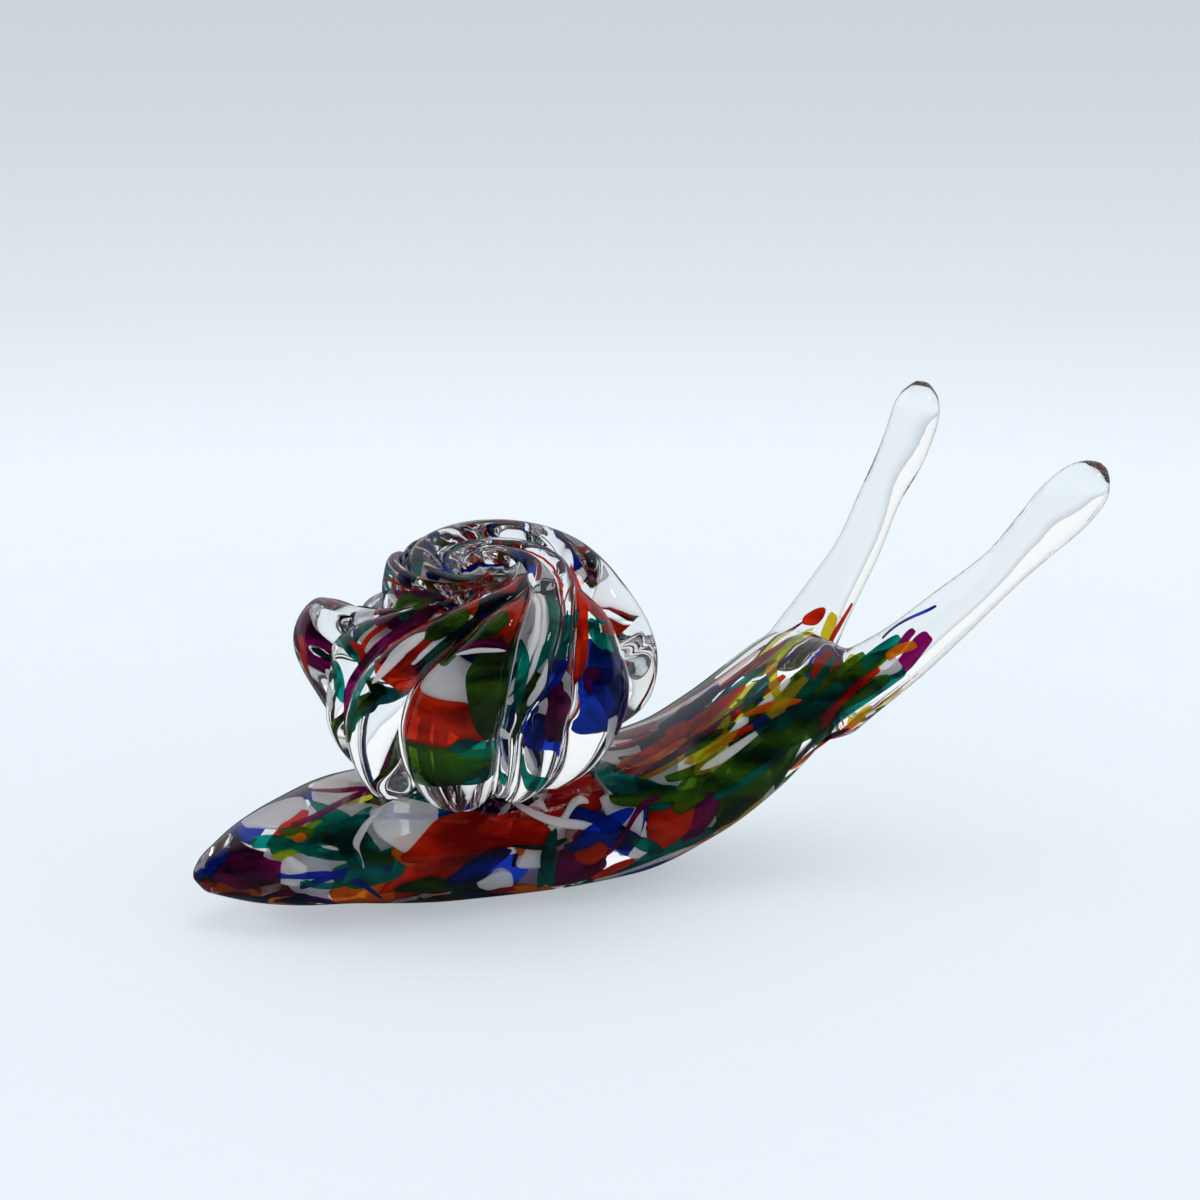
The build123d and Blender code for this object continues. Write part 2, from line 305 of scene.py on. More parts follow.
shellShape = {
    "radius": 28.6, "crown": 19.5, "root": 24.0, "reach": -4.8, "seat": 39.7, "tilt": 75.0, "swing": -18.0,
    "crownSink": 3.2, "sinkSteepness": 9, "eyeShift": (2.4, 0.0), "shiftFrom": 70.0, "shiftTo": 30.0,
    # the grooves between the ribs: angle off the axis, then the angle round it of each groove
    "grooves": [
        (0, 130, 160, 164, 300, 355, 358, 480, 482, 484, 487, 489),
        (8, 85, 118, 122, 262, 320, 324, 433, 436, 438, 441, 443),
        (13, 32, 75, 80, 215, 285, 290, 380, 383, 385, 388, 390),
        (18, -3, 46, 52, 128, 250, 258, 345, 348, 350, 353, 355),
        (23, -20, 23, 36, 85, 175, 185, 325, 328, 331, 335, 337.5),
        (28, -26, 6, 27, 60, 95, 110, 262, 268, 273, 326, 331),
        (34, -33, -6, 20, 50, 64, 88, 212, 222, 234, 304, 312),
        (42, -42, -13, 15, 41, 52, 80, 140, 178, 214, 280, 298),
        (52, -47, -20, 13.5, 33, 46, 77, 124, 160, 200, 260, 286),
        (64, -49, -25, 12.5, 27, 41, 74, 117, 153, 193, 245, 282),
        (78, -50, -27, 10, 18, 37, 72, 110, 147, 187, 238, 290),
        (95, -51, -28, 8, 14, 33, 72, 108, 144, 183, 234, 292),
        (180, -52, -28, 8, 14, 33, 72, 106, 141, 180, 231, 292)],
    "grooveDepths": (4.5, 4.5, 4.5, 4.0, 3.5, 5.0, 5.0, 5.0, 5.0, 6.0, 5.0),
    # how far each rib stands out of the round form: angle off the axis, then the ribs
    "ribHeights": [
        (0, 0, 0, 0, 0, 0, 0, 0, 0, 0, 0, 0),
        (30, -0.3, -0.3, -0.8, -0.8, -0.5, 1.0, 0, 0, 2.0, 0, -0.5),
        (38, -0.3, -0.2, -0.7, -0.7, -0.5, 0.9, 0, -0.6, -2.0, -1.0, -1.0),
        (46, -0.2, 0, -0.6, -0.6, -0.6, 0.6, 0, -1.0, -7.0, -2.0, -1.4),
        (56, -0.1, 0.1, -0.5, -0.5, -0.6, 0.4, 0, -1.5, -7.5, -1.0, -1.8),
        (66, 0, 0.3, -0.5, -0.3, -0.6, 0.6, 0, -2.0, -7.0, 0.6, -2.0),
        (78, 0.2, 0.3, -0.5, -0.5, -0.6, 1.0, -0.2, -2.0, -5.0, 1.0, -1.5),
        (105, 1.0, 0.3, -0.5, -0.8, -0.6, 1.8, -0.5, -1.5, -3.5, -2.0, 0.2),
        (125, 1.5, 0.3, -0.3, -0.5, -0.4, -0.5, -0.5, -1.2, -2.0, -2.5, 0.2),
        (180, 0, 0, 0, 0, 0, -0.6, -0.5, -1.0, -1.5, -2.5, 0.2)],
    "ribSteepness": 0.62, "ribRise": 0.75, "ribFloor": 0.03, "ribsFrom": 5, "ribsFadeIn": 6,
    "ribSegments": 36, "rings": 230, "ringCrowding": 1.3, "onGroove": 1e-4, "meanRadius": 24,
    "eyeRadius": 5.0, "eyeRim": 0.5, "eyeDepth": 2.0, "eyeBowl": 0.7,
    "facets": 5, "facetDepth": 1.2, "facetTurn": 0.5,
    "bead": (1.2, 8.2, 1.2, 1.0),  # its place across and in front of the axis, its radius and its rise
}

ribCount = len(shellShape["grooveDepths"])
lean = math.radians(shellShape["swing"])
tip = math.radians(shellShape["tilt"])
shellAxis = np.array([math.sin(lean) * math.cos(tip), -math.cos(lean) * math.cos(tip), math.sin(tip)])
shellSide = np.array([math.cos(lean), math.sin(lean), 0])
shellFront = -np.cross(shellAxis, shellSide)
shellCentre = np.array([shellShape["reach"], 0, shellShape["seat"]]) * mm


def ribAngle(number, theta):
    # angle round the axis, in degrees, of a place counted in ribs from the first groove
    rows = smoothRows(shellShape["grooves"], np.degrees(theta))[:, 1:]
    rows = np.column_stack([rows, rows[:, 0] + 360])
    k = np.floor(number).astype(int)
    turns, k = np.divmod(k, ribCount)
    each = np.arange(len(rows))
    low, high = rows[each, k], rows[each, k + 1]
    return low + (high - low) * (number - np.floor(number)) + 360 * turns


def ribNumber(angle, theta):
    # the other way round, for one place
    rows = smoothRows(shellShape["grooves"], np.array([np.degrees(theta)]))[0, 1:]
    rows = np.append(rows, rows[0] + 360)
    return float(np.interp((angle - rows[0]) % 360 + rows[0], rows, np.arange(ribCount + 1)))


def halfLength(theta):
    # of the round form along its axis, on the crown's side or the root's
    return np.where(theta < math.pi / 2, shellShape["crown"], shellShape["root"])


def shellHeight(theta, share=1.0):
    # height along the axis, with the crown pressed in round the eye
    s = shellShape
    sink = s["crownSink"] * np.exp(-(s["sinkSteepness"] * np.sin(theta) ** 2))
    upper = s["crown"] * np.cos(theta) - sink
    return np.where(theta < math.pi / 2, upper, s["root"] * np.cos(theta)) * share * mm


def shellPoints(around, theta, share=1.0):
    # points of the shell's round form, at a share of the way out
    s = shellShape
    q = np.radians(around)
    out = s["radius"] * np.sin(theta) * share * mm
    crown = np.clip((s["shiftFrom"] - np.degrees(theta)) / (s["shiftFrom"] - s["shiftTo"]), 0, 1)
    crown = crown * crown * (3 - 2 * crown) * mm
    return (
        shellCentre
        + np.outer(out * np.sin(q) + s["eyeShift"][0] * crown, shellSide)
        + np.outer(out * np.cos(q) + s["eyeShift"][1] * crown, shellFront)
        + np.outer(shellHeight(theta, share), shellAxis)
    )


def shellSlant(theta, down, number):
    # how much a rib that winds round the form is narrowed, at one angle off the axis
    step = 0.01
    lower, upper = np.clip(theta - step, 0, math.pi), np.clip(theta + step, 0, math.pi)
    winding = np.radians(ribAngle(number, upper) - ribAngle(number, lower)) / (upper - lower)
    return np.sqrt(1 + (shellShape["radius"] * np.sin(theta) * winding / down) ** 2)


def shellOffset(number, theta):
    # how far the ribbed surface stands out of the round form, in millimetres
    s = shellShape
    sine, cosine = np.sin(theta), np.cos(theta)
    down = np.sqrt((s["radius"] * cosine) ** 2 + (halfLength(theta) * sine) ** 2)
    slant = shellSlant(theta, down, number)

    def halfWidth(rib):
        wide = ribAngle(rib + 1.0, theta) - ribAngle(rib + 0.0, theta)
        return s["radius"] * sine * np.radians(wide) / 2 / slant

    rib = np.floor(number)
    part = number - rib
    here, before, after = halfWidth(rib), halfWidth(rib - 1), halfWidth(rib + 1)
    grooves = np.array(s["grooveDepths"])
    k = rib.astype(int) % ribCount
    lowDepth = np.minimum(grooves[k], s["ribSteepness"] * np.maximum(here, before))
    highDepth = np.minimum(grooves[(k + 1) % ribCount], s["ribSteepness"] * np.maximum(here, after))
    groove = lowDepth + (highDepth - lowDepth) * part
    rise = np.minimum(groove, s["ribRise"] * here)
    low = s["ribFloor"]
    roundness = np.sqrt(np.clip(1 - (1 - low) * (2 * part - 1) ** 2, 0, 1))
    bulge = (roundness - math.sqrt(low)) / (1 - math.sqrt(low))
    heights = smoothRows(s["ribHeights"], np.degrees(theta))[:, 1:]
    each = np.arange(len(k))
    crests = heights[each, k]
    nextCrests = np.where(part < 0.5, heights[each, k - 1], heights[each, (k + 1) % ribCount])
    blend = (2 * part - 1) ** 2
    stand = crests + (nextCrests - crests) / 2 * blend
    fade = np.clip((np.degrees(theta) - s["ribsFrom"]) / s["ribsFadeIn"], 0, 1)
    return (stand - groove + rise * bulge) * fade


def shellShareThere(number, theta):
    # the share of the way out to the round form at which the ribbed surface lies
    reach = np.hypot(shellShape["radius"] * np.sin(theta), halfLength(theta) * np.cos(theta))
    return 1 + shellOffset(number, theta) / reach


def makeShell():
    # a ball of glass pressed into ribs, with a dished and faceted eye and one bead in its crown
    s = shellShape
    piece = ball(ribCount * s["ribSegments"], s["rings"])
    piece.name = piece.data.name = "shellGlass"
    unit = getPlaces(piece)
    theta = np.arccos(np.clip(unit[:, 2], -1, 1))
    theta = math.pi * (theta / math.pi) ** s["ringCrowding"]
    number = (np.arctan2(unit[:, 1], unit[:, 0]) / (2 * math.pi)) % 1 * ribCount
    groove = np.round(number)
    number = np.where(np.abs(number - groove) < s["onGroove"], groove, number)
    around = ribAngle(number, theta)
    sine, cosine = np.sin(theta), np.cos(theta)
    offset = shellOffset(number, theta)
    normalOut, normalUp = sine / s["radius"], cosine / halfLength(theta)
    size = np.hypot(normalOut, normalUp)
    q = np.radians(around)
    out = s["radius"] * sine
    ring = np.exp(-((out - s["eyeRadius"]) ** 2))
    bowl = np.clip(1 - (out / s["eyeRadius"]) ** 2, 0, 1) ** s["eyeBowl"]
    facets = s["facetDepth"] * np.abs(np.sin(s["facets"] / 2 * q + s["facetTurn"]))
    facets = facets * np.clip(2 * out / s["eyeRadius"], 0, 1)
    high = (s["eyeRim"] * ring - bowl * (s["eyeDepth"] + facets)) * (theta < math.pi / 2)
    places = shellPoints(around, theta)
    radial = np.outer(np.sin(q), shellSide) + np.outer(np.cos(q), shellFront)
    places = places + radial * (offset * normalOut / size * mm)[:, None]
    places = places + shellAxis * ((offset * normalUp / size + high) * mm)[:, None]
    bead = s["bead"]
    off = (places - shellCentre) / mm
    away = (off @ shellSide - bead[0]) ** 2 + (off @ shellFront - bead[1]) ** 2
    drop = bead[3] * np.sqrt(np.clip(1 - away / bead[2] ** 2, 0, 1)) * (theta < math.pi / 2)
    setPlaces(piece, places + shellAxis * (drop * mm)[:, None])
    return piece


def treeOf(*pieces):
    # the surfaces of some pieces, ready to be searched
    corners, sides = [], []
    for piece in pieces:
        first = len(corners)
        corners += [v.co for v in piece.data.vertices]
        sides += [[first + corner for corner in p.vertices] for p in piece.data.polygons]
    return BVHTree.FromPolygons(corners, sides)


def fuse(first, second):
    # where two glass pieces are fused, neither has a surface of its own
    for piece, other in ((first, second), (second, first)):
        tree = treeOf(other)
        others = getPlaces(other)
        low, high = others.min(axis=0), others.max(axis=0)
        centres = np.empty(len(piece.data.polygons) * 3)
        piece.data.polygons.foreach_get("center", centres)
        centres = centres.reshape(-1, 3)
        for number in np.nonzero(np.all((centres > low) & (centres < high), axis=1))[0]:
            centre = Vector(centres[number])
            place, normal, side, away = tree.find_nearest(centre)
            if (centre - place).dot(normal) < 0:
                piece.data.polygons[number].material_index = 1


# Finishes

def newFinish(name):
    finish = bpy.data.materials.new(name)
    finish.use_nodes = True
    nodes = finish.node_tree.nodes
    return finish, nodes, finish.node_tree.links, nodes["Principled BSDF"]


def setInputs(node, **values):
    # socket names with a space are written with an underscore
    for name, value in values.items():
        node.inputs[name.replace("_", " ")].default_value = value


def noiseOn(nodes, scale, detail, twist):
    noise = nodes.new("ShaderNodeTexNoise")
    setInputs(noise, Scale=scale, Detail=detail, Distortion=twist)
    return noise


def rampNode(nodes, *stops):
    # a stop is a place from 0 to 1 and the colour there
    ramp = nodes.new("ShaderNodeValToRGB")
    elements = ramp.color_ramp.elements
    while len(elements) < len(stops):
        elements.new(0.5)
    for element, (place, colour) in zip(elements, stops):
        element.position = place
        element.color = (*colour, 1)
    return ramp


def wire(links, *ways):
    # each way leads from a node and its output to a node and its input
    for start, output, end, slot in ways:
        links.new(start.outputs[output], end.inputs[slot])


def mathNode(nodes, links, operation, first, second):
    node = nodes.new("ShaderNodeMath")
    node.operation = operation
    links.new(first, node.inputs[0])
    if isinstance(second, bpy.types.NodeSocket):
        links.new(second, node.inputs[1])
    else:
        node.inputs[1].default_value = second
    return node


def mixedColours(nodes, links, factor, first, second):
    mix = nodes.new("ShaderNodeMix")
    mix.data_type = "RGBA"
    links.new(factor, mix.inputs["Factor"])
    for name, colour in (("A", first), ("B", second)):
        if isinstance(colour, bpy.types.NodeSocket):
            links.new(colour, mix.inputs[name])
        else:
            mix.inputs[name].default_value = (*colour, 1)
    return mix.outputs["Result"]


glassBend = 1.5  # how far the clear glass bends light
clearFinish = {
    "tint": (0.985, 0.993, 0.99, 1), "cordScale": 60, "cordDetail": 2, "cordTwist": 0.6,
    "cordStrength": 0.12, "cordHeight": 0.0006,
}


def clearGlass():
    # solid clear glass, with faint cords from the gathering in its surface
    s = clearFinish
    finish, nodes, links, shader = newFinish("clearGlass")
    setInputs(shader, Base_Color=s["tint"], Roughness=0.0, IOR=glassBend, Transmission_Weight=1.0)
    where = nodes.new("ShaderNodeTexCoord")
    cords = noiseOn(nodes, s["cordScale"], s["cordDetail"], s["cordTwist"])
    bump = nodes.new("ShaderNodeBump")
    setInputs(bump, Strength=s["cordStrength"], Distance=s["cordHeight"])
    wire(
        links, (where, "Object", cords, "Vector"), (cords, "Fac", bump, "Height"),
        (bump, "Normal", shader, "Normal"))
    return finish


def fusedJoint():
    # light passes straight on where two pieces are one glass
    finish, nodes, links, shader = newFinish("fusedJoint")
    nodes.remove(shader)
    clear = nodes.new("ShaderNodeBsdfTransparent")
    wire(links, (clear, "BSDF", nodes["Material Output"], "Surface"))
    return finish


chipColours = {  # deep tone, light tone, share of light let through
    "red": ((0.34, 0.004, 0.002), (0.86, 0.040, 0.006), 0.62),
    "orange": ((0.70, 0.08, 0.004), (0.95, 0.26, 0.012), 0.55),
    "teal": ((0.000, 0.035, 0.04), (0.001, 0.36, 0.28), 0.80),
    "green": ((0.002, 0.030, 0.008), (0.10, 0.26, 0.012), 0.75),
    "blue": ((0.001, 0.008, 0.07), (0.008, 0.05, 0.62), 0.80),
    "purple": ((0.025, 0.001, 0.018), (0.28, 0.004, 0.13), 0.70),
    "yellow": ((0.80, 0.40, 0.01), (0.66, 0.80, 0.03), 0.80),
    "white": ((0.94, 0.92, 0.95), (0.99, 0.99, 0.99), 0.50),
}

chipFinish = {
    "roughness": 0.05, "bend": 1.01, "cloudScale": 150, "cloudDetail": 3, "cloudTwist": 1.2,
    "deepUpTo": 0.38, "lightFrom": 0.62, "drawn": (0.4, 1.0, 1.0),
}


def chipGlass(colour):
    # coloured glass that barely bends light where it lies in the clear, clouded along the snail
    s = chipFinish
    deep, light, through = chipColours[colour]
    finish, nodes, links, shader = newFinish(colour + "Glass")
    setInputs(shader, Roughness=s["roughness"], IOR=s["bend"], Transmission_Weight=through)
    where = nodes.new("ShaderNodeTexCoord")
    clouds = noiseOn(nodes, s["cloudScale"], s["cloudDetail"], s["cloudTwist"])
    ramp = rampNode(nodes, (s["deepUpTo"], deep), (s["lightFrom"], light))
    drawn = nodes.new("ShaderNodeMapping")
    setInputs(drawn, Scale=s["drawn"])
    wire(
        links, (where, "Object", drawn, "Vector"), (drawn, "Vector", clouds, "Vector"),
        (clouds, "Fac", ramp, "Fac"), (ramp, "Color", shader, "Base Color"))
    return finish


# Chips and strands of coloured glass

# What the picture shows is placed by picture points of the 1200 x 1200 frame: x, y, length, width and turn,
# with the sizes in millimetres. What it doesn't show is placed by angles.

bodyLayer = {
    "depth": 0.74, "thickness": 1.4, "growth": 1.22, "ends": (0.02, 0.99),
    "threads": {
        "count": 30, "seed": 9, "from": (0.08, 0.72), "reach": (0.06, 0.18), "drift": 60,
        "width": (1.4, 3.4), "depth": (0.76, 0.84),
        "colours": ("white", "teal", "purple", "teal", "white", "green", "purple", "blue")},
    "rootStrands": {  # side, shares of the tentacle where it starts and ends, angle round it, width, depth
        "yellow": [("left", 0.02, 0.3, 175, 2.6, 0.8), ("right", 0.0, 0.22, 20, 1.8, 0.8),
                   ("left", 0.0, 0.2, 235, 1.6, 0.84)],
        "red": [("left", 0.0, 0.36, 140, 1.2, 0.86), ("right", 0.0, 0.25, 200, 1.6, 0.7)],
        "teal": [("left", 0.0, 0.22, 150, 2.0, 0.6), ("right", 0.0, 0.3, 160, 3.2, 0.55),
                 ("right", 0.04, 0.34, 230, 2.2, 0.8)],
        "green": [("right", 0.0, 0.26, 190, 3.2, 0.6), ("right", 0.0, 0.24, 250, 2.0, 0.8)],
        "purple": [("right", 0.26, 0.4, 185, 2.6, 0.5), ("right", 0.3, 0.38, 230, 1.4, 0.72),
                   ("left", 0.0, 0.16, 200, 2.2, 0.7)],
        "blue": [("left", 0.0, 0.3, 118, 0.7, 0.9), ("right", 0.3, 0.46, 260, 0.8, 0.86)],
        "white": [("right", 0.2, 0.3, 205, 3.0, 0.6), ("left", 0.04, 0.24, 128, 1.4, 0.84)],
        "orange": [("right", 0.0, 0.16, 120, 2.0, 0.82), ("right", 0.28, 0.36, 215, 1.8, 0.78)],
    },
    "under": {
        "clear": (),
        "depth": 0.54, "length": 12, "width": 8, "first": 0.14, "last": 0.8, "rows": 9, "round": 4,
        "colours": ("red", "teal", "white", "white", "purple", "white", "orange", "teal", "white", "blue")},
    "seen": {
        "purple": [(252, 873, 10, 4.4, 0), (495, 800, 14, 4.0, 0), (578, 868, 9, 8, 20),
                   (705, 812, 8, 4, 35)],
        "yellow": [(300, 838, 8, 3.5, 20), (748, 802, 9, 5, 45), (775, 708, 10, 2.4, 25),
                   (715, 747, 12, 2.5, 30)],
        "teal": [(322, 838, 6, 6, 30), (356, 842, 4, 15, 20), (375, 872, 11, 5, 15), (549, 860, 2.5, 11, 0),
                 (635, 790, 15, 5, -38), (668, 852, 13, 2.6, 8), (790, 715, 10, 5, 35)],
        "red": [(290, 828, 7, 2.2, 25), (480, 828, 22, 7, 0), (440, 868, 14, 7, 8), (505, 892, 10, 3, 5),
                (672, 822, 8, 7, 10), (590, 845, 5, 6, 0), (670, 745, 22, 3, 28)],
        "white": [(292, 872, 3.5, 4.5, 0), (405, 822, 9, 8, 0), (538, 850, 5, 6.5, -35),
                  (517, 795, 7, 3, -15), (625, 812, 6, 7, 30), (495, 880, 5, 4, 0), (720, 770, 9, 3, 30)],
        "blue": [(480, 868, 12, 3.5, 35), (603, 830, 12, 4, -35), (755, 722, 7, 3.2, 25),
                 (640, 870, 8, 3, 15)],
        "orange": [(530, 832, 6, 6, 10), (415, 850, 6, 4, 0), (690, 850, 8, 3, 25), (800, 700, 6, 2.4, 30)],
        "green": [(735, 800, 8, 6, 45), (765, 765, 16, 6, 42), (790, 735, 12, 5, 40), (690, 790, 9, 4, 20),
                  (430, 885, 10, 3, 0)],
    },
    "unseen": {  # place along the spine, angle round it, length, width, turn
        "red": [(0.56, 250, 14, 9, 20), (0.4, 176, 14, 9, -15), (0.66, 186, 12, 6, 10),
                (0.3, 262, 12, 7, 5), (0.48, 96, 13, 8, 10)],
        "orange": [(0.47, 300, 12, 6, -10), (0.7, 62, 15, 3, 3), (0.55, 196, 8, 6, 30)],
        "teal": [(0.62, 158, 12, 8, 10), (0.85, 150, 13, 6, 12), (0.38, 238, 12, 7, -20),
                 (0.6, 112, 10, 8, 15)],
        "green": [(0.34, 298, 12, 6, 15), (0.24, 160, 10, 6, 30), (0.8, 190, 13, 7, 5),
                  (0.46, 130, 8, 7, 0)],
        "blue": [(0.5, 205, 11, 6, -12), (0.81, 92, 12, 3, 4), (0.33, 190, 8, 7, 30), (0.7, 262, 12, 6, 0)],
        "purple": [(0.73, 205, 11, 7, 5), (0.58, 222, 10, 7, 10), (0.18, 200, 9, 5, 0), (0.4, 122, 9, 7, 0)],
        "yellow": [(0.84, 68, 12, 3, 2), (0.28, 215, 9, 5, 0), (0.76, 160, 10, 3, 10)],
        "white": [(0.28, 100, 10, 7, 0), (0.52, 150, 9, 8, 20), (0.45, 262, 11, 8, 0), (0.68, 230, 9, 6, 0)],
    },
    "strands": {  # place where it starts, place where it ends, angle round the spine, width, depth share
        "red": [(0.62, 0.93, 58, 1.8, 0.7), (0.66, 0.96, 100, 1.3, 0.6), (0.7, 0.95, 122, 1.6, 0.7)],
        "yellow": [(0.66, 0.92, 48, 1.4, 0.62), (0.75, 0.98, 84, 1.2, 0.66)],
        "green": [(0.7, 0.96, 36, 2.2, 0.74), (0.72, 0.97, 142, 2.0, 0.7)],
        "teal": [(0.64, 0.94, 74, 1.7, 0.74), (0.78, 0.98, 20, 2.0, 0.66)],
        "blue": [(0.74, 0.96, 66, 1.0, 0.58), (0.2, 0.36, 40, 1.2, 0.8)],
        "purple": [(0.62, 0.9, 88, 1.4, 0.76), (0.14, 0.3, 64, 1.4, 0.84)],
        "white": [(0.64, 0.93, 52, 1.6, 0.8), (0.66, 0.94, 110, 1.8, 0.8)],
    },
}

shellLayer = {
    "depth": 0.64, "thickness": 1.3, "growth": 1.12, "ends": (14, 172), "leastRadius": 4, "settling": 0.7,
    "under": {
        "depth": 0.42, "length": 12, "width": 9, "first": 48, "last": 128, "rows": 6, "round": 8,
        "clear": ((238, 284), (298, 336), (66, 125)),
        "colours": (
            "blue", "green", "white", "red", "teal", "purple", "green", "white", "blue", "red", "teal")},
    "seen": {
        "white": [(455, 684, 12, 6, 5), (548, 640, 4, 18, 10), (497, 729, 3, 5, 10), (580, 768, 7, 5, 10),
                  (390, 605, 9, 2.4, 15), (368, 640, 3, 7, 20)],
        "green": [(428, 765, 10, 7.5, 25), (440, 626, 9, 6, 30), (410, 612, 8, 3, 5), (497, 688, 6, 11, 5)],
        "purple": [(486, 722, 9, 6, -10), (501, 692, 5.5, 10, 5), (476, 644, 9, 3.5, 0),
                   (378, 636, 3, 8, 25), (600, 715, 4, 9, -10)],
        "red": [(428, 727, 9.5, 7, 20), (512, 612, 8, 6, 40), (385, 662, 3, 12, -35), (530, 575, 6, 3, -60),
                (470, 606, 10, 2.5, 5), (403, 560, 2.5, 8, 15)],
        "teal": [(488, 763, 6.5, 8, 0), (528, 625, 2.6, 12, 5), (592, 640, 5, 9, 10),
                 (566, 700, 2.6, 12, -15), (335, 690, 3, 10, 15), (395, 565, 2.4, 7, 20),
                 (515, 785, 11, 2.5, 0)],
        "blue": [(545, 700, 3, 15, -25), (608, 690, 4, 11, -8), (575, 680, 2.5, 9, 10),
                 (388, 580, 3, 7, 15), (600, 750, 5, 6, 0)],
    },
    "unseen": {  # angle round the axis, angle off it, length, width, turn
        "red": [(150, 70, 11, 8, 10), (200, 62, 9, 6, 30), (-135, 60, 10, 6, 0), (140, 112, 10, 7, 0)],
        "green": [(205, 100, 11, 7, 15), (150, 58, 9, 7, 0), (-150, 95, 10, 8, 0), (-72, 125, 9, 7, 0)],
        "teal": [(-130, 90, 10, 7, 0), (138, 95, 8, 9, 0), (180, 50, 10, 5, 20), (-170, 120, 10, 7, 0)],
        "blue": [(134, 66, 9, 6, 20), (222, 60, 10, 6, 30), (170, 88, 9, 8, 0), (-140, 72, 8, 6, 10)],
        "purple": [(170, 112, 10, 7, 0), (-130, 112, 9, 7, 0), (225, 78, 8, 8, 10)],
        "white": [(128, 84, 8, 8, 30), (-150, 60, 9, 6, -20), (190, 75, 7, 9, 0), (-125, 112, 9, 7, 0)],
    },
    "strands": {  # place counted in ribs, angle off the axis where it starts and ends, width, depth
        "red": [(0.35, 30, 62, 1.8, 0.8), (1.05, 22, 70, 1.0, 0.86), (3.92, 24, 104, 1.3, 0.9),
                (5.02, 30, 90, 0.8, 0.86), (1.6, 24, 44, 3.2, 0.84), (8.2, 30, 60, 1.4, 0.86),
                (9.9, 30, 52, 1.0, 0.84), (0.55, 40, 66, 1.2, 0.82), (8.5, 26, 50, 0.9, 0.86),
                (10.5, 50, 74, 0.8, 0.8)],
        "teal": [(2.06, 34, 84, 1.2, 0.84), (2.92, 30, 66, 1.3, 0.84), (0.75, 30, 60, 0.9, 0.84),
                 (3.3, 44, 100, 1.2, 0.8), (8.35, 28, 56, 1.3, 0.84), (10.3, 54, 92, 1.2, 0.78),
                 (9.3, 34, 60, 0.7, 0.84)],
        "blue": [(2.12, 44, 88, 1.0, 0.8), (2.84, 50, 84, 1.6, 0.8), (3.55, 50, 98, 1.2, 0.78),
                 (8.65, 30, 60, 1.0, 0.84), (10.1, 60, 90, 0.8, 0.78)],
        "purple": [(0.03, 34, 100, 0.9, 0.88), (3.75, 60, 100, 1.2, 0.82), (0.85, 34, 60, 1.0, 0.82),
                   (9.6, 32, 44, 0.9, 0.84)],
        "white": [(2.2, 30, 78, 0.6, 0.84), (2.32, 28, 80, 0.8, 0.82), (2.5, 26, 82, 1.0, 0.86),
                  (2.62, 30, 80, 0.6, 0.82), (2.74, 28, 80, 0.8, 0.84), (3.15, 40, 90, 0.9, 0.84),
                  (0.65, 32, 58, 0.8, 0.86), (10.6, 52, 84, 1.4, 0.76), (8.1, 30, 50, 0.9, 0.86)],
        "green": [(0.6, 30, 48, 2.2, 0.78), (1.3, 34, 60, 1.4, 0.8), (9.8, 34, 44, 2.0, 0.84),
                  (1.9, 40, 60, 1.2, 0.82)],
    },
}

bodyMarks = {  # width in millimetres, then the picture points that a drawn thread passes
    "inset": 2.0,
    "orange": [(2.2, (285, 850), (305, 836), (332, 838)), (1.8, (742, 716), (772, 706), (802, 700)),
               (2.2, (790, 770), (826, 744), (846, 733))],
    "red": [(1.8, (275, 842), (286, 826), (303, 820)), (2.6, (622, 768), (672, 738), (735, 690)),
            (2.4, (803, 624), (812, 619), (825, 608)), (3.0, (690, 737), (720, 707), (746, 684)),
            (1.4, (700, 757), (730, 738), (760, 722))],
    "teal": [(2.6, (372, 806), (352, 825), (345, 845), (356, 865), (343, 884)),
             (2.4, (335, 818), (318, 834), (312, 852)), (2.4, (556, 828), (547, 860), (552, 886)),
             (2.2, (628, 838), (664, 852), (702, 846)), (3.0, (712, 800), (760, 765), (812, 712)),
             (3.0, (742, 706), (758, 690), (768, 676)), (3.6, (750, 740), (790, 722), (824, 708))],
    "white": [(1.2, (384, 806), (364, 828), (356, 848), (364, 868)),
              (2.2, (700, 770), (745, 745), (785, 718))],
    "blue": [(3.0, (445, 888), (475, 868), (512, 850)), (3.0, (566, 852), (598, 832), (634, 808)),
             (2.2, (751, 727), (765, 722), (777, 716)), (0.8, (690, 729), (727, 689), (754, 662))],
    "green": [(4.0, (700, 792), (745, 762), (798, 710)), (4.0, (760, 752), (800, 730), (822, 722)),
              (2.6, (840, 683), (866, 666), (892, 650)), (2.0, (684, 756), (712, 738), (736, 722))],
    "yellow": [(2.0, (814, 628), (786, 647), (773, 663), (773, 682), (779, 698), (794, 701)),
               (2.2, (684, 764), (712, 748), (744, 728)), (1.6, (826, 742), (850, 724), (872, 706))],
    "purple": [(2.4, (842, 680), (866, 664), (886, 652)), (1.6, (640, 776), (690, 745), (742, 704)),
               (0.9, (754, 661), (779, 635), (804, 621)), (3.0, (452, 798), (495, 795), (540, 798)),
               (3.2, (228, 872), (250, 864), (276, 868)), (2.0, (800, 764), (830, 744), (850, 728))],
}

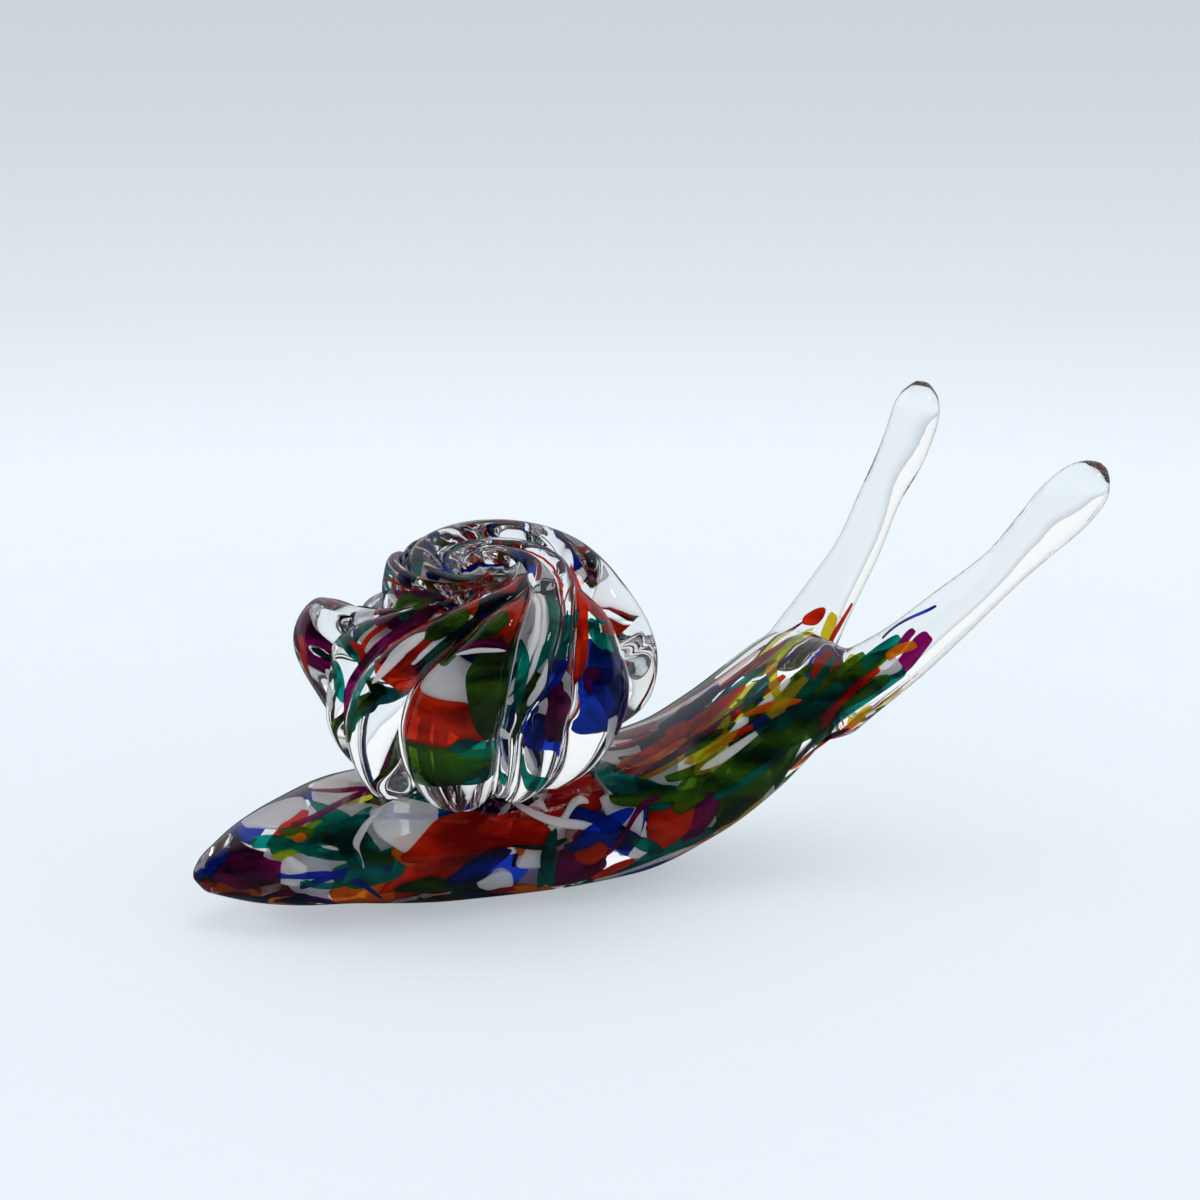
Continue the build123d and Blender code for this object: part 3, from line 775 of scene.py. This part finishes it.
shellMarks = {
    "inset": 2.0,
    "purple": [(1.3, (455, 650), (478, 645), (504, 646)), (4.0, (366, 600), (380, 610), (390, 622)),
               (1.4, (380, 664), (400, 645), (414, 632)),
               (1.8, (345, 736), (350, 698), (373, 656), (415, 622), (457, 599)),
               (1.0, (386, 591), (418, 594), (449, 599)), (3.0, (560, 742), (566, 716), (562, 690))],
    "white": [(0.9, (455, 655), (480, 650), (506, 651)), (2.6, (350, 630), (362, 620), (374, 616)),
              (1.8, (372, 684), (404, 648), (428, 632)), (2.2, (605, 686), (613, 722), (605, 753)),
              (2.0, (326, 669), (328, 690), (331, 711)), (2.0, (505, 730), (501, 737))],
    "red": [(2.6, (360, 677), (398, 640), (422, 624)),
            (1.8, (571, 563), (581, 610), (581, 660), (571, 698)), (2.4, (486, 577), (490, 577)),
            (1.3, (449, 587), (478, 592), (503, 590), (525, 576)),
            (1.6, (394, 551), (402, 572), (411, 584)), (1.0, (350, 641), (358, 648), (367, 658)),
            (1.4, (300, 634), (304, 660), (314, 684))],
    "teal": [(1.6, (349, 742), (354, 702), (377, 662)), (1.8, (521, 639), (523, 669), (516, 711)),
             (2.2, (576, 606), (571, 631), (559, 660)), (1.8, (411, 555), (416, 566), (419, 576)),
             (1.8, (335, 660), (338, 682), (343, 703)), (2.4, (590, 618), (598, 634), (604, 650))],
    "blue": [(1.6, (571, 639), (550, 682), (521, 720)), (4.0, (592, 682), (611, 698), (616, 734)),
             (1.4, (400, 572), (405, 580), (411, 587))],
    "green": [(3.0, (425, 640), (445, 625), (470, 612)), (4.0, (390, 611), (412, 605), (436, 601)),
              (2.6, (470, 640), (490, 628), (508, 612))],
}

pebbleShape = {
    "segments": 40, "rings": 14, "corners": (5, 7), "cornerDrift": 0.3, "cornerReach": (0.78, 1.0),
    "sharpness": 14, "fullness": 0.55, "edge": 0.5, "bow": 0.9, "depthDrift": 0.06,
}

threadShape = {
    "segments": 10, "rings": 40, "flatInBody": 0.35, "flatInShell": 0.4, "drawnEnds": 0.35, "markEnds": 0.45,
    # how far each kind of thread waves to the sides, in degrees, at least and at most, and how often
    "body": (4, 9, 5), "tentacle": (5, 15, 4), "shell": (0.5, 1.5, 4), "phase": (0, 6), "leastRadius": 3,
}


def shardPlaces(unit, length, width, turn, thickness, seed):
    # an irregular chip with melted edges, lying flat: along, over and up, in metres
    p = pebbleShape
    draw = random.Random(seed)
    corners = draw.randint(*p["corners"])
    bearing = np.arctan2(unit[:, 1], unit[:, 0])
    flat = np.sqrt(unit[:, 0] ** 2 + unit[:, 1] ** 2)
    inverse = np.zeros(len(unit))
    for corner in range(corners):
        facing = 2 * math.pi * (corner + draw.uniform(-p["cornerDrift"], p["cornerDrift"])) / corners
        apart = draw.uniform(*p["cornerReach"])
        inverse += np.maximum(np.cos(bearing - facing) / apart, 0) ** p["sharpness"]
    reach = flat ** p["fullness"] * inverse ** (-1 / p["sharpness"])
    up = np.sign(unit[:, 2]) * np.abs(unit[:, 2]) ** p["edge"] * thickness / 2
    along = reach * np.cos(bearing) * length / 2
    over = reach * np.sin(bearing) * width / 2
    over = over + draw.uniform(-p["bow"], p["bow"]) * along**2 / (length + width)
    c, s = math.cos(math.radians(turn)), math.sin(math.radians(turn))
    return along * c - over * s, along * s + over * c, up


def roundSpine(spots, angle, over, up, depth):
    # places round the body's spine: sideways and outward offsets, in metres, from an angle and a depth
    centres, headings, widths, heights = bodyFrames(spots)
    ups = np.cross(headings, sideways)
    girth = np.sqrt((widths**2 + heights**2) / 2) * depth
    q = np.radians(angle) + over / girth
    out = depth + up / np.minimum(widths, heights)
    high, wide = heights * np.sin(q) * out, widths * np.cos(q) * out
    return centres + ups * high[:, None] - sideways * wide[:, None]


def onBody(place, angle, along, over, up, depth):
    # chip coordinates wrapped round the body's spine, under its surface
    spots = np.clip(place + along / (bodyShape["length"] * mm), *bodyLayer["ends"])
    return roundSpine(spots, angle, over, up, depth)


def onShell(angle, level, along, over, up, depth):
    # chip coordinates laid along the shell's ribs, under their surface
    s = shellShape
    theta0 = math.radians(level)
    mean = s["meanRadius"] * mm
    thetas = np.clip(theta0 - over / (mean * depth), *np.radians(shellLayer["ends"]))
    wide = max(s["radius"] * math.sin(theta0) * depth, shellLayer["leastRadius"]) * mm
    number = ribNumber(angle, theta0)
    numbers = np.full(len(thetas), number)
    follow = ribAngle(numbers, thetas) - ribAngle(np.array([number]), np.array([theta0]))[0]
    shares = np.minimum(shellShareThere(numbers, thetas), 1) ** shellLayer["settling"] * depth
    return shellPoints(angle + np.degrees(along / wide) + follow, thetas, shares + up / mean)


bodyPlaces = np.linspace(0.01, 0.99, 197)
bodyTable = bodyFrames(bodyPlaces)


def bodyShare(point):
    # place, angle and share of the way out, of a point in the body
    centres, headings, widths, heights = bodyTable
    off = np.array(point) - centres
    k = int(np.argmin(np.abs(np.sum(off * headings, axis=1))))
    ups = np.cross(headings[k], sideways)
    high, wide = off[k] @ ups / heights[k], -off[k][1] / widths[k]
    return bodyPlaces[k], math.degrees(math.atan2(high, wide)), math.hypot(high, wide)


def shellShare(point):
    # angle round the axis, angle off it and share of the way out, of a point in the shell
    off = np.array(point) - shellCentre
    side, front, high = off @ shellSide, off @ shellFront, off @ shellAxis
    length = (shellShape["crown"] if high > 0 else shellShape["root"]) * mm
    out = math.hypot(side, front) / (shellShape["radius"] * mm)
    return (
        math.degrees(math.atan2(side, front)),
        math.degrees(math.atan2(out, high / length)),
        math.hypot(out, high / length),
    )


cameraShape = {
    "place": (-152.94, -421.71, 152.11), "aim": (17.52, 0.19, 47.06),
    "lens": 85, "sensor": 36, "frame": 1200, "clip": (0.01, 100),
}
sightStep = 0.15  # millimetres between the places tried along a line of sight
sightSteps = 160


def sightLine(x, y):
    # from the camera through a point of the picture
    s = cameraShape
    eye, aim = Vector(s["place"]) * mm, Vector(s["aim"]) * mm
    ahead = (aim - eye).normalized()
    right = ahead.cross(Vector((0, 0, 1))).normalized()
    up = right.cross(ahead)
    scale = s["sensor"] / s["lens"] / s["frame"]
    middle = s["frame"] / 2
    return eye, (ahead + right * (x - middle) * scale - up * (y - middle) * scale).normalized()


def intoGlass(x, y, tree):
    # where a line of sight meets the glass, the way that the glass bends it, and how the surface faces
    eye, line = sightLine(x, y)
    hit, normal, side, away = tree.ray_cast(eye, line)
    if hit is None:
        return None
    facing = -normal.dot(line)
    turned = facing / glassBend - math.sqrt(1 - (1 - facing**2) / glassBend**2)
    return hit, line / glassBend + normal * turned, normal


def seenInGlass(x, y, tree, shareOf, depth):
    # follows a line of sight through the surface of the glass to a layer in it
    met = intoGlass(x, y, tree)
    if met is None:
        return None
    hit, bent, normal = met
    best = None
    for step in range(1, sightSteps):
        found = shareOf(hit + bent * step * sightStep * mm)
        if best is None or found[2] < best[2]:
            best = found
        if found[2] <= depth:
            break
    return best


def strandPlaces(unit):
    # a thread of glass with drawn-out ends: share along it, and two offsets across it
    along = (unit[:, 2] + 1) / 2
    thick = np.sqrt(unit[:, 0] ** 2 + unit[:, 1] ** 2)
    plump = np.where(thick > 0, np.minimum(thick, 1), 0)
    fine = plump ** threadShape["drawnEnds"] / np.maximum(plump, 1e-6)
    return along, unit[:, 0] * fine, unit[:, 1] * fine


def wavingPlaces(unit, kind, seed):
    # a thread's places, and how far to the side it waves there, in degrees
    along, over, up = strandPlaces(unit)
    draw = random.Random(seed)
    least, most, waves = threadShape[kind]
    swing, phase = draw.uniform(least, most), draw.uniform(*threadShape["phase"])
    return along, over, up, swing * np.sin(phase + waves * along)


def bodyStrand(unit, start, end, angle, width, depth, seed, drift=0):
    # a thread drawn along the body, waving a little round it
    along, over, up, wave = wavingPlaces(unit, "body", seed)
    half = width * mm / 2
    angles = angle + drift * along + wave
    spots = start + (end - start) * along
    return roundSpine(spots, angles, over * half, up * half * threadShape["flatInBody"], depth)


def tentacleStrand(unit, side, start, end, angle, width, depth, seed):
    # a thread that follows a tentacle, from its root at the fork
    shape = tentacleShapes[side + "Tentacle"]
    along, over, up, wave = wavingPlaces(unit, "tentacle", seed)
    rows, headings = tentaclePath(shape, tentacleSteps + 1)
    spots = (start + (end - start) * along) * tentacleSteps
    low = np.clip(np.floor(spots).astype(int), 0, tentacleSteps - 1)
    part = (spots - low)[:, None]
    here = rows[low] + (rows[low + 1] - rows[low]) * part
    ahead = headings[low] + (headings[low + 1] - headings[low]) * part
    across = sideways - ahead * ahead[:, 1:2]
    across /= np.linalg.norm(across, axis=1)[:, None]
    ups = np.cross(across, ahead)
    radius = np.minimum(here[:, 4], shape["knob"] * mm)
    half = width * mm / 2
    q = np.radians(angle + wave) + over * half / (radius * depth)
    out = radius * depth + up * half * threadShape["flatInBody"]
    return here[:, 1:4] + across * (out * np.cos(q))[:, None] + ups * (out * np.sin(q))[:, None]


def shellStrand(unit, number, start, end, width, depth, seed):
    # a thread drawn along a rib of the shell
    s = shellShape
    along, over, up, wave = wavingPlaces(unit, "shell", seed)
    thetas = np.radians(start + (end - start) * along)
    numbers = np.full(len(thetas), float(number))
    radius = np.maximum(s["radius"] * np.sin(thetas) * depth, threadShape["leastRadius"])
    around = ribAngle(numbers, thetas) + wave + np.degrees(over * width / 2 / radius)
    rise = up * width / 2 * threadShape["flatInShell"] / s["meanRadius"]
    return shellPoints(around, thetas, shellShareThere(numbers, thetas) * (depth + rise))


def fineThreads(layer):
    # fine threads that the pulling of the glass left across and along it, near its surface
    s = layer["threads"]
    draw = random.Random(s["seed"])
    found = {colour: [] for colour in layer["seen"]}
    for _ in range(s["count"]):
        start = draw.uniform(*s["from"])
        reach = draw.uniform(*s["reach"])
        drift = draw.uniform(-s["drift"], s["drift"])
        width, depth = draw.uniform(*s["width"]), draw.uniform(*s["depth"])
        found[draw.choice(s["colours"])].append(
            (start, start + reach, draw.uniform(0, 360), width, depth, drift))
    return found


def markPlaces(unit, tree, inset, width, *spots):
    # a flat thread inside the glass, along points of the picture, a little under the surface
    met = [found for found in (intoGlass(x, y, tree) for x, y in spots) if found]
    if len(met) < 2:
        print("no glass along", spots)
        return None
    middles = [hit + bent * inset * mm for hit, bent, normal in met]
    facings = [normal for hit, bent, normal in met]
    rows = np.column_stack([np.linspace(0, 1, len(met)), np.array(middles), np.array(facings)])
    along, over, up = strandPlaces(unit)
    step = 0.01
    here = smoothRows(rows, along)[:, 1:]
    ahead, behind = (smoothRows(rows, np.clip(along + way, 0, 1))[:, 1:4] for way in (step, -step))
    side = np.cross(ahead - behind, here[:, 3:])
    side /= np.linalg.norm(side, axis=1)[:, None]
    across = width / 2 * mm * np.clip(1 - (2 * along - 1) ** 2, 0, 1) ** threadShape["markEnds"]
    flat = up * threadShape["flatInShell"]
    return here[:, :3] + (side * over[:, None] + here[:, 3:] * flat[:, None]) * across[:, None]


scatter = {"seed": 5, "shift": (-0.2, 0.2), "size": (0.8, 1.15), "turn": (-40, 40)}


def underChips(layer, gatherName):
    # an inner layer of chips, spread evenly, that shows between those of the outer layer
    s = layer["under"]
    draw = random.Random(scatter["seed"])
    found = {colour: [] for colour in layer["seen"]}
    for row in range(s["rows"]):
        for column in range(s["round"]):
            share = (row + draw.uniform(*scatter["shift"])) / (s["rows"] - 1)
            along = s["first"] + (s["last"] - s["first"]) * share
            angle = 360 * (column + row / 2 + draw.uniform(*scatter["shift"])) / s["round"]
            places = (along, angle) if gatherName == "body" else (angle, along)
            size = draw.uniform(*scatter["size"])
            colour = draw.choice(s["colours"])
            turn = draw.uniform(*scatter["turn"])
            if not any(low < angle % 360 < high for low, high in s["clear"]):
                found[colour].append((*places, s["length"] * size, s["width"] * size, turn))
    return found


def makeChips(layer, marks, gatherName, mapping, strand, tree, shareOf):
    # one piece for each colour: the chips that are seen, those that aren't, and the drawn strands
    pieces = {}
    chipUnit, strandUnit = getPlaces(pebble), getPlaces(thread)
    under = underChips(layer, gatherName)
    fine = fineThreads(layer) if "threads" in layer else {}

    def chip(place, angle, length, width, turn, depth, size, seed):
        sizes = shardPlaces(chipUnit, length * size, width * size, turn, layer["thickness"] * mm, seed)
        return mapping(place, angle, *sizes, depth)

    for number, colour in enumerate(layer["seen"]):
        seeds = itertools.count(100 * number + 1)
        found = []
        for x, y, *sizes in layer["seen"][colour]:
            seen = seenInGlass(x, y, tree, shareOf, layer["depth"])
            if seen:
                found.append((*seen[:2], *sizes))
            else:
                print("no glass at", x, y)
        chips, threads = [], []
        for row in found + layer["unseen"].get(colour, []):
            seed = next(seeds)
            drift = random.Random(seed).uniform(-pebbleShape["depthDrift"], pebbleShape["depthDrift"])
            depth = layer["depth"] + drift
            chips.append(chip(*row, depth, layer["growth"] * mm, seed))
        for row in under[colour]:
            chips.append(chip(*row, layer["under"]["depth"], mm, next(seeds)))
        for row in layer["strands"].get(colour, []):
            threads.append(strand(strandUnit, *row, next(seeds)))
        for *row, drift in fine.get(colour, []):
            threads.append(strand(strandUnit, *row, next(seeds), drift))
        for row in layer.get("rootStrands", {}).get(colour, []):
            threads.append(tentacleStrand(strandUnit, *row, next(seeds)))
        for row in marks.get(colour, []):
            places = markPlaces(strandUnit, tree, marks["inset"], *row)
            if places is not None:
                threads.append(places)
        made = [copyOf(pebble, places) for places in chips] + [copyOf(thread, places) for places in threads]
        pieces[colour] = joined(made, gatherName + colour.capitalize() + "Chips")
    return pieces


def checkedNormals(piece):
    # every chip of the piece gets its outside outwards
    mesh = bmesh.new()
    mesh.from_mesh(piece.data)
    bmesh.ops.recalc_face_normals(mesh, faces=mesh.faces)
    mesh.to_mesh(piece.data)
    mesh.free()


# Camera, lamps and floor

def aimed(name, data, place, aim):
    # a camera or a lamp, set up at a place and turned to what it looks at
    thing = bpy.data.objects.new(name, data)
    bpy.context.scene.collection.objects.link(thing)
    thing.location = place
    thing.rotation_euler = (Vector(aim) - Vector(place)).to_track_quat("-Z", "Y").to_euler()
    return thing


def makeCamera():
    s = cameraShape
    data = bpy.data.cameras.new("camera")
    data.lens, data.sensor_width = s["lens"], s["sensor"]
    data.clip_start, data.clip_end = s["clip"]
    bpy.context.scene.camera = aimed("camera", data, Vector(s["place"]) * mm, Vector(s["aim"]) * mm)


lamps = {  # place, size and power
    "overhead": ((0.0, 0.12, 1.0), 0.8, 2.4),
    "side": ((0.7, -0.3, 0.6), 0.12, 0.3),
}
lampAim = (0, 0, 0.03)
smallLamp = 0.5  # only a smaller lamp than this shows in the glass


def makeLamp(name, place, size, power):
    data = bpy.data.lights.new(name, "AREA")
    data.shape = "DISK"
    data.size = size
    data.energy = power
    aimed(name, data, place, lampAim).visible_glossy = size < smallLamp


floorShape = {
    "size": 60, "roughness": 0.6, "gloss": 0.2,
    # mirrored is a painted dark reflection of the floor, paper is the paper's own colour, tint is the hue of
    # the painted glow
    "mirrored": (0.08, 0.085, 0.09), "paper": (0.345, 0.37, 0.39), "tint": (0.915, 1.0, 1.065),
    # distance from the object in metres, and the painted glow of the paper there, standing in for lamplight
    "paintedGlow": [(0.10, 0.415), (0.40, 0.475), (0.80, 0.38), (1.80, 0.32), (6.00, 0.27)],
}


def makeFloor():
    # pale paper with a painted glow, seen by the camera and through glass, which stands in for light from
    # below so that the object's shadow on it is faint; the floor as the glass mirrors it is painted dark
    s = floorShape
    pickNone()
    bpy.ops.mesh.primitive_plane_add(size=s["size"], location=(0, 0, 0))
    floor = bpy.context.object
    floor.name = "floor"
    finish, nodes, links, shader = newFinish("floorPaper")
    setInputs(shader, Roughness=s["roughness"], Specular_IOR_Level=s["gloss"])
    where = nodes.new("ShaderNodeTexCoord")
    away = nodes.new("ShaderNodeVectorMath")
    away.operation = "LENGTH"
    links.new(where.outputs["Object"], away.inputs[0])
    distance = away.outputs["Value"]
    more = mathNode(nodes, links, "ADD", distance, 1)
    share = mathNode(nodes, links, "DIVIDE", distance, more.outputs["Value"])
    # painted light: a glow that changes with distance from the object, in place of lamplight on the paper
    levels = [(reach / (reach + 1), [level * tone for tone in s["tint"]]) for reach, level in s["paintedGlow"]]
    paintedGlow = rampNode(nodes, *levels)
    wire(links, (share, "Value", paintedGlow, "Fac"), (paintedGlow, "Color", shader, "Emission Color"))
    # the painted glow shows to the camera and through glass only, in the object's shadow as well
    path = nodes.new("ShaderNodeLightPath")
    through = path.outputs["Is Transmission Ray"]
    seen = mathNode(nodes, links, "MAXIMUM", path.outputs["Is Camera Ray"], through)
    wire(links, (seen, "Value", shader, "Emission Strength"))
    # painted reflection: rays mirrored off glass, not passing through it, see the floor in the dark mirrored
    # colour instead of the paper
    only = mathNode(nodes, links, "SUBTRACT", path.outputs["Is Glossy Ray"], through)
    only.use_clamp = True
    paper = mixedColours(nodes, links, only.outputs["Value"], s["paper"], s["mirrored"])
    links.new(paper, shader.inputs["Base Color"])
    floor.data.materials.append(finish)


studio = {
    "plain": (0.755, 0.815, 0.86), "even": (1.12, 1.14, 1.17),
    "bright": (1.02, 1.04, 1.06), "dark": (0.02, 0.02, 0.024),
    "darkTowards": (-0.25, -0.95, 0.18), "darkFrom": 0.55, "darkTo": 0.85,
    "mirrored": (0.48, 0.50, 0.53), "mirroredFrom": 0.25, "mirroredTo": 0.50,
    "patchScale": 2.2, "patchDetail": 1, "patchShift": 0.9,
}


def makeWorld():
    # an even pale room; what glass shows or mirrors of it has a dark side, behind the camera
    s = studio
    world = bpy.data.worlds.new("studio")
    bpy.context.scene.world = world
    world.use_nodes = True
    nodes, links = world.node_tree.nodes, world.node_tree.links
    where = nodes.new("ShaderNodeTexCoord")
    towards = nodes.new("ShaderNodeVectorMath")
    towards.operation = "DOT_PRODUCT"
    towards.inputs[1].default_value = Vector(s["darkTowards"]).normalized()
    patches = noiseOn(nodes, s["patchScale"], s["patchDetail"], 0)
    shift = mathNode(nodes, links, "MULTIPLY_ADD", patches.outputs["Fac"], s["patchShift"])
    seenThrough = rampNode(nodes, (s["darkFrom"], s["bright"]), (s["darkTo"], s["dark"]))
    mirrored = rampNode(nodes, (s["mirroredFrom"], s["mirrored"]), (s["mirroredTo"], s["dark"]))
    wire(
        links, (where, "Generated", towards, 0), (where, "Generated", patches, "Vector"),
        (towards, "Value", shift, 2))
    path = nodes.new("ShaderNodeLightPath").outputs
    room = s["plain"]
    for way, ramp in (("Is Glossy Ray", mirrored), ("Is Transmission Ray", seenThrough)):
        # light that passes through glass counts as both kinds, so its mix comes second
        wire(links, (shift, "Value", ramp, "Fac"))
        room = mixedColours(nodes, links, path[way], room, ramp.outputs["Color"])
    room = mixedColours(nodes, links, path["Diffuse Depth"], room, s["even"])
    links.new(room, nodes["Background"].inputs["Color"])
    setInputs(nodes["Background"], Strength=1.0)


# How often light may pass from glass to glass
lightPaths = {
    "max_bounces": 32, "transmission_bounces": 28, "glossy_bounces": 8, "transparent_max_bounces": 48,
}


# Making

glass = clearGlass()
joint = fusedJoint()

gather = makeGather()
clearPieces = parted(gather)
print("gather parted:", {name: len(piece.data.polygons) for name, piece in clearPieces.items()})
shell = makeShell()
clearPieces["shellGlass"] = shell
for piece in clearPieces.values():
    piece.data.materials.append(glass)
    piece.data.materials.append(joint)
fuse(clearPieces["bodyGlass"], shell)
print("shell fused:", len(shell.data.polygons))

standsFor = {
    "bodyGlass": ("body_casing", "body_core"),
    "shellGlass": ("shell_casing", "shell_core"),
    "rightTentacle": ("right_tentacle",),
    "leftTentacle": ("left_tentacle",),
}
for name, nodesReplaced in standsFor.items():
    piece = clearPieces[name]
    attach(piece, "root")
    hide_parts(*nodesReplaced)

pebble = ball(pebbleShape["segments"], pebbleShape["rings"])
thread = ball(threadShape["segments"], threadShape["rings"])
finishes = {colour: chipGlass(colour) for colour in chipColours}
for gatherName, glassNames, layer, marks, mapping, strand, shareOf in (
    ("body", ("bodyGlass", *tentacleShapes), bodyLayer, bodyMarks, onBody, bodyStrand, bodyShare),
    ("shell", ("shellGlass",), shellLayer, shellMarks, onShell, shellStrand, shellShare),
):
    tree = treeOf(*(clearPieces[name] for name in glassNames))
    for colour, piece in makeChips(layer, marks, gatherName, mapping, strand, tree, shareOf).items():
        piece.data.materials.append(finishes[colour])
        checkedNormals(piece)
        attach(piece, "root")
        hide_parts(gatherName + "_" + colour + "_chips")
for template in (pebble, thread):
    bpy.data.objects.remove(template)
print("chips made")

makeCamera()
makeFloor()
makeWorld()
for name, lamp in lamps.items():
    makeLamp(name, *lamp)
print("studio ready")

scene = bpy.context.scene
scene.view_settings.view_transform = "Standard"
for kind, bounces in lightPaths.items():
    setattr(scene.cycles, kind, bounces)
